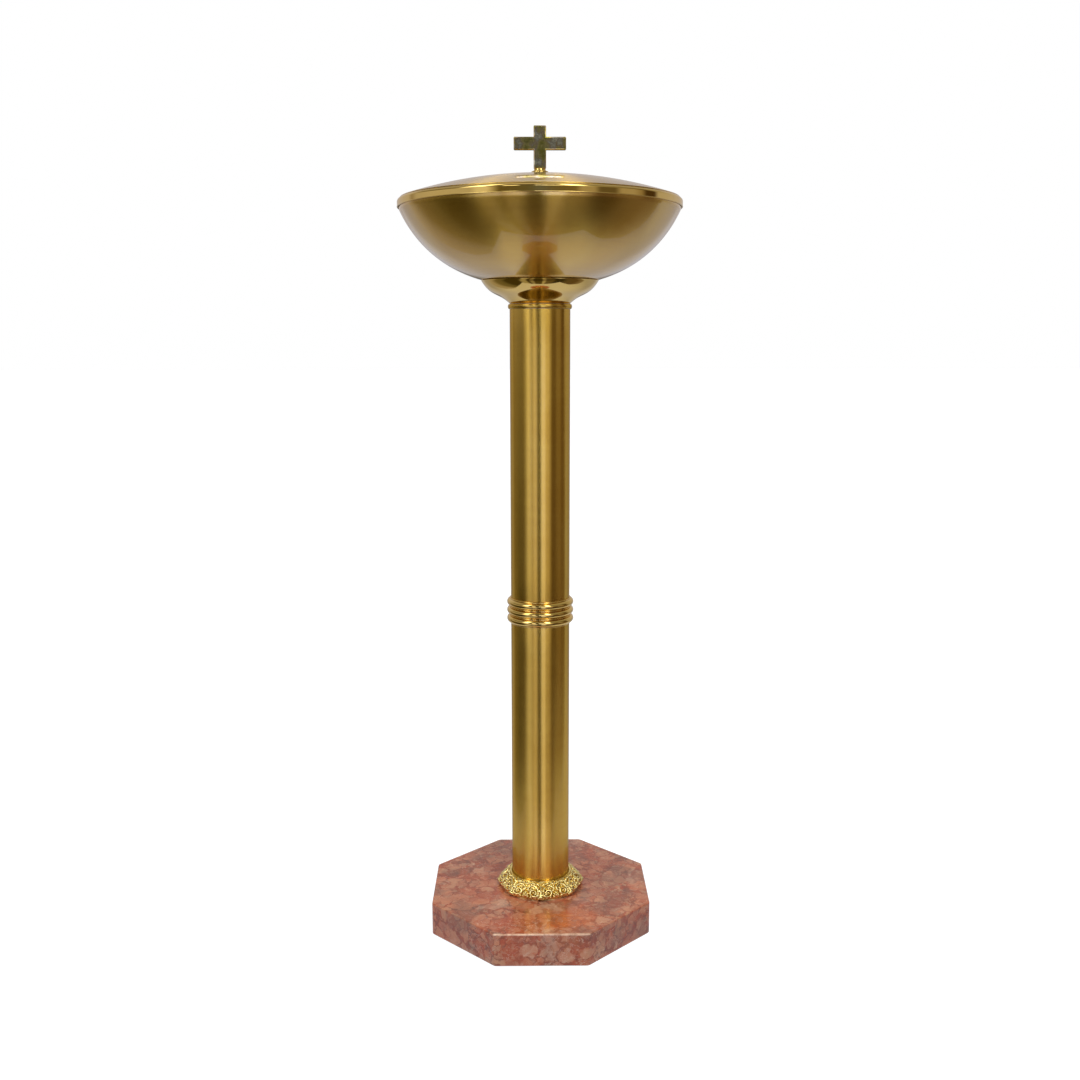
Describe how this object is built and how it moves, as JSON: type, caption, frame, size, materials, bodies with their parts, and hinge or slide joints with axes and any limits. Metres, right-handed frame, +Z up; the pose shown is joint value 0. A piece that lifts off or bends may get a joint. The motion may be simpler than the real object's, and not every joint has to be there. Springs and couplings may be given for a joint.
{
  "type": "baptismal font",
  "caption": "Standing baptismal font: octagonal marble foot, brass tube column with a ringed knop, spun bowl with lift-out basin, and a domed lid with a cross handle.",
  "frame": {"origin": "on the floor, on the column's axis, at the underside of the rubber pads", "axes": "+Z up the column, +Y to the back and +X to the right as seen from the front; the cross faces -Y"},
  "size_m": [0.3693, 0.3694, 1.0832],
  "materials": {
    "marble": "polished rose-red breccia marble",
    "pad_rubber": "matt black rubber",
    "seal_rubber": "matt black rubber",
    "plated_steel": "zinc plated",
    "turned_aluminium": "turned",
    "basin_steel": "polished stainless steel",
    "satin_brass": "satin, brushed round the axis, lacquered",
    "polished_brass": "polished and lacquered",
    "cast_gilt": "cast, polished and gilt"
  },
  "bodies": {
    "stand": {"marble_base": "marble", "base_pads": "pad_rubber", "base_washer": "plated_steel", "base_nut": "plated_steel", "tie_rod": "plated_steel", "foot_collar": "cast_gilt", "lower_centring_disc": "turned_aluminium", "lower_tube": "satin_brass", "knop_sleeve": "turned_aluminium", "knop": "polished_brass", "upper_tube": "satin_brass", "upper_centring_disc": "turned_aluminium", "neck_ring": "polished_brass", "bracket_cup": "polished_brass", "bowl_seat": "turned_aluminium", "bowl_gasket": "seal_rubber", "bowl": "satin_brass", "bowl_seal": "seal_rubber", "bowl_washer": "plated_steel", "bowl_nut": "plated_steel"},
    "basin": {"inner_basin": "basin_steel"},
    "lid": {"lid_rim": "polished_brass", "lid_dome": "satin_brass", "cross_foot": "polished_brass", "cross": "polished_brass", "cross_stud": "plated_steel", "cross_washer": "plated_steel", "cross_nut": "plated_steel"}
  },
  "joints": [
    {"name": "basin_lift", "type": "slide", "parent": "stand", "child": "basin", "axis": [0, 0, 1], "range_m": [0, 0.2]},
    {"name": "lid_lift", "type": "slide", "parent": "basin", "child": "lid", "axis": [0, 0, 1], "range_m": [0, 0.25]}
  ]
}
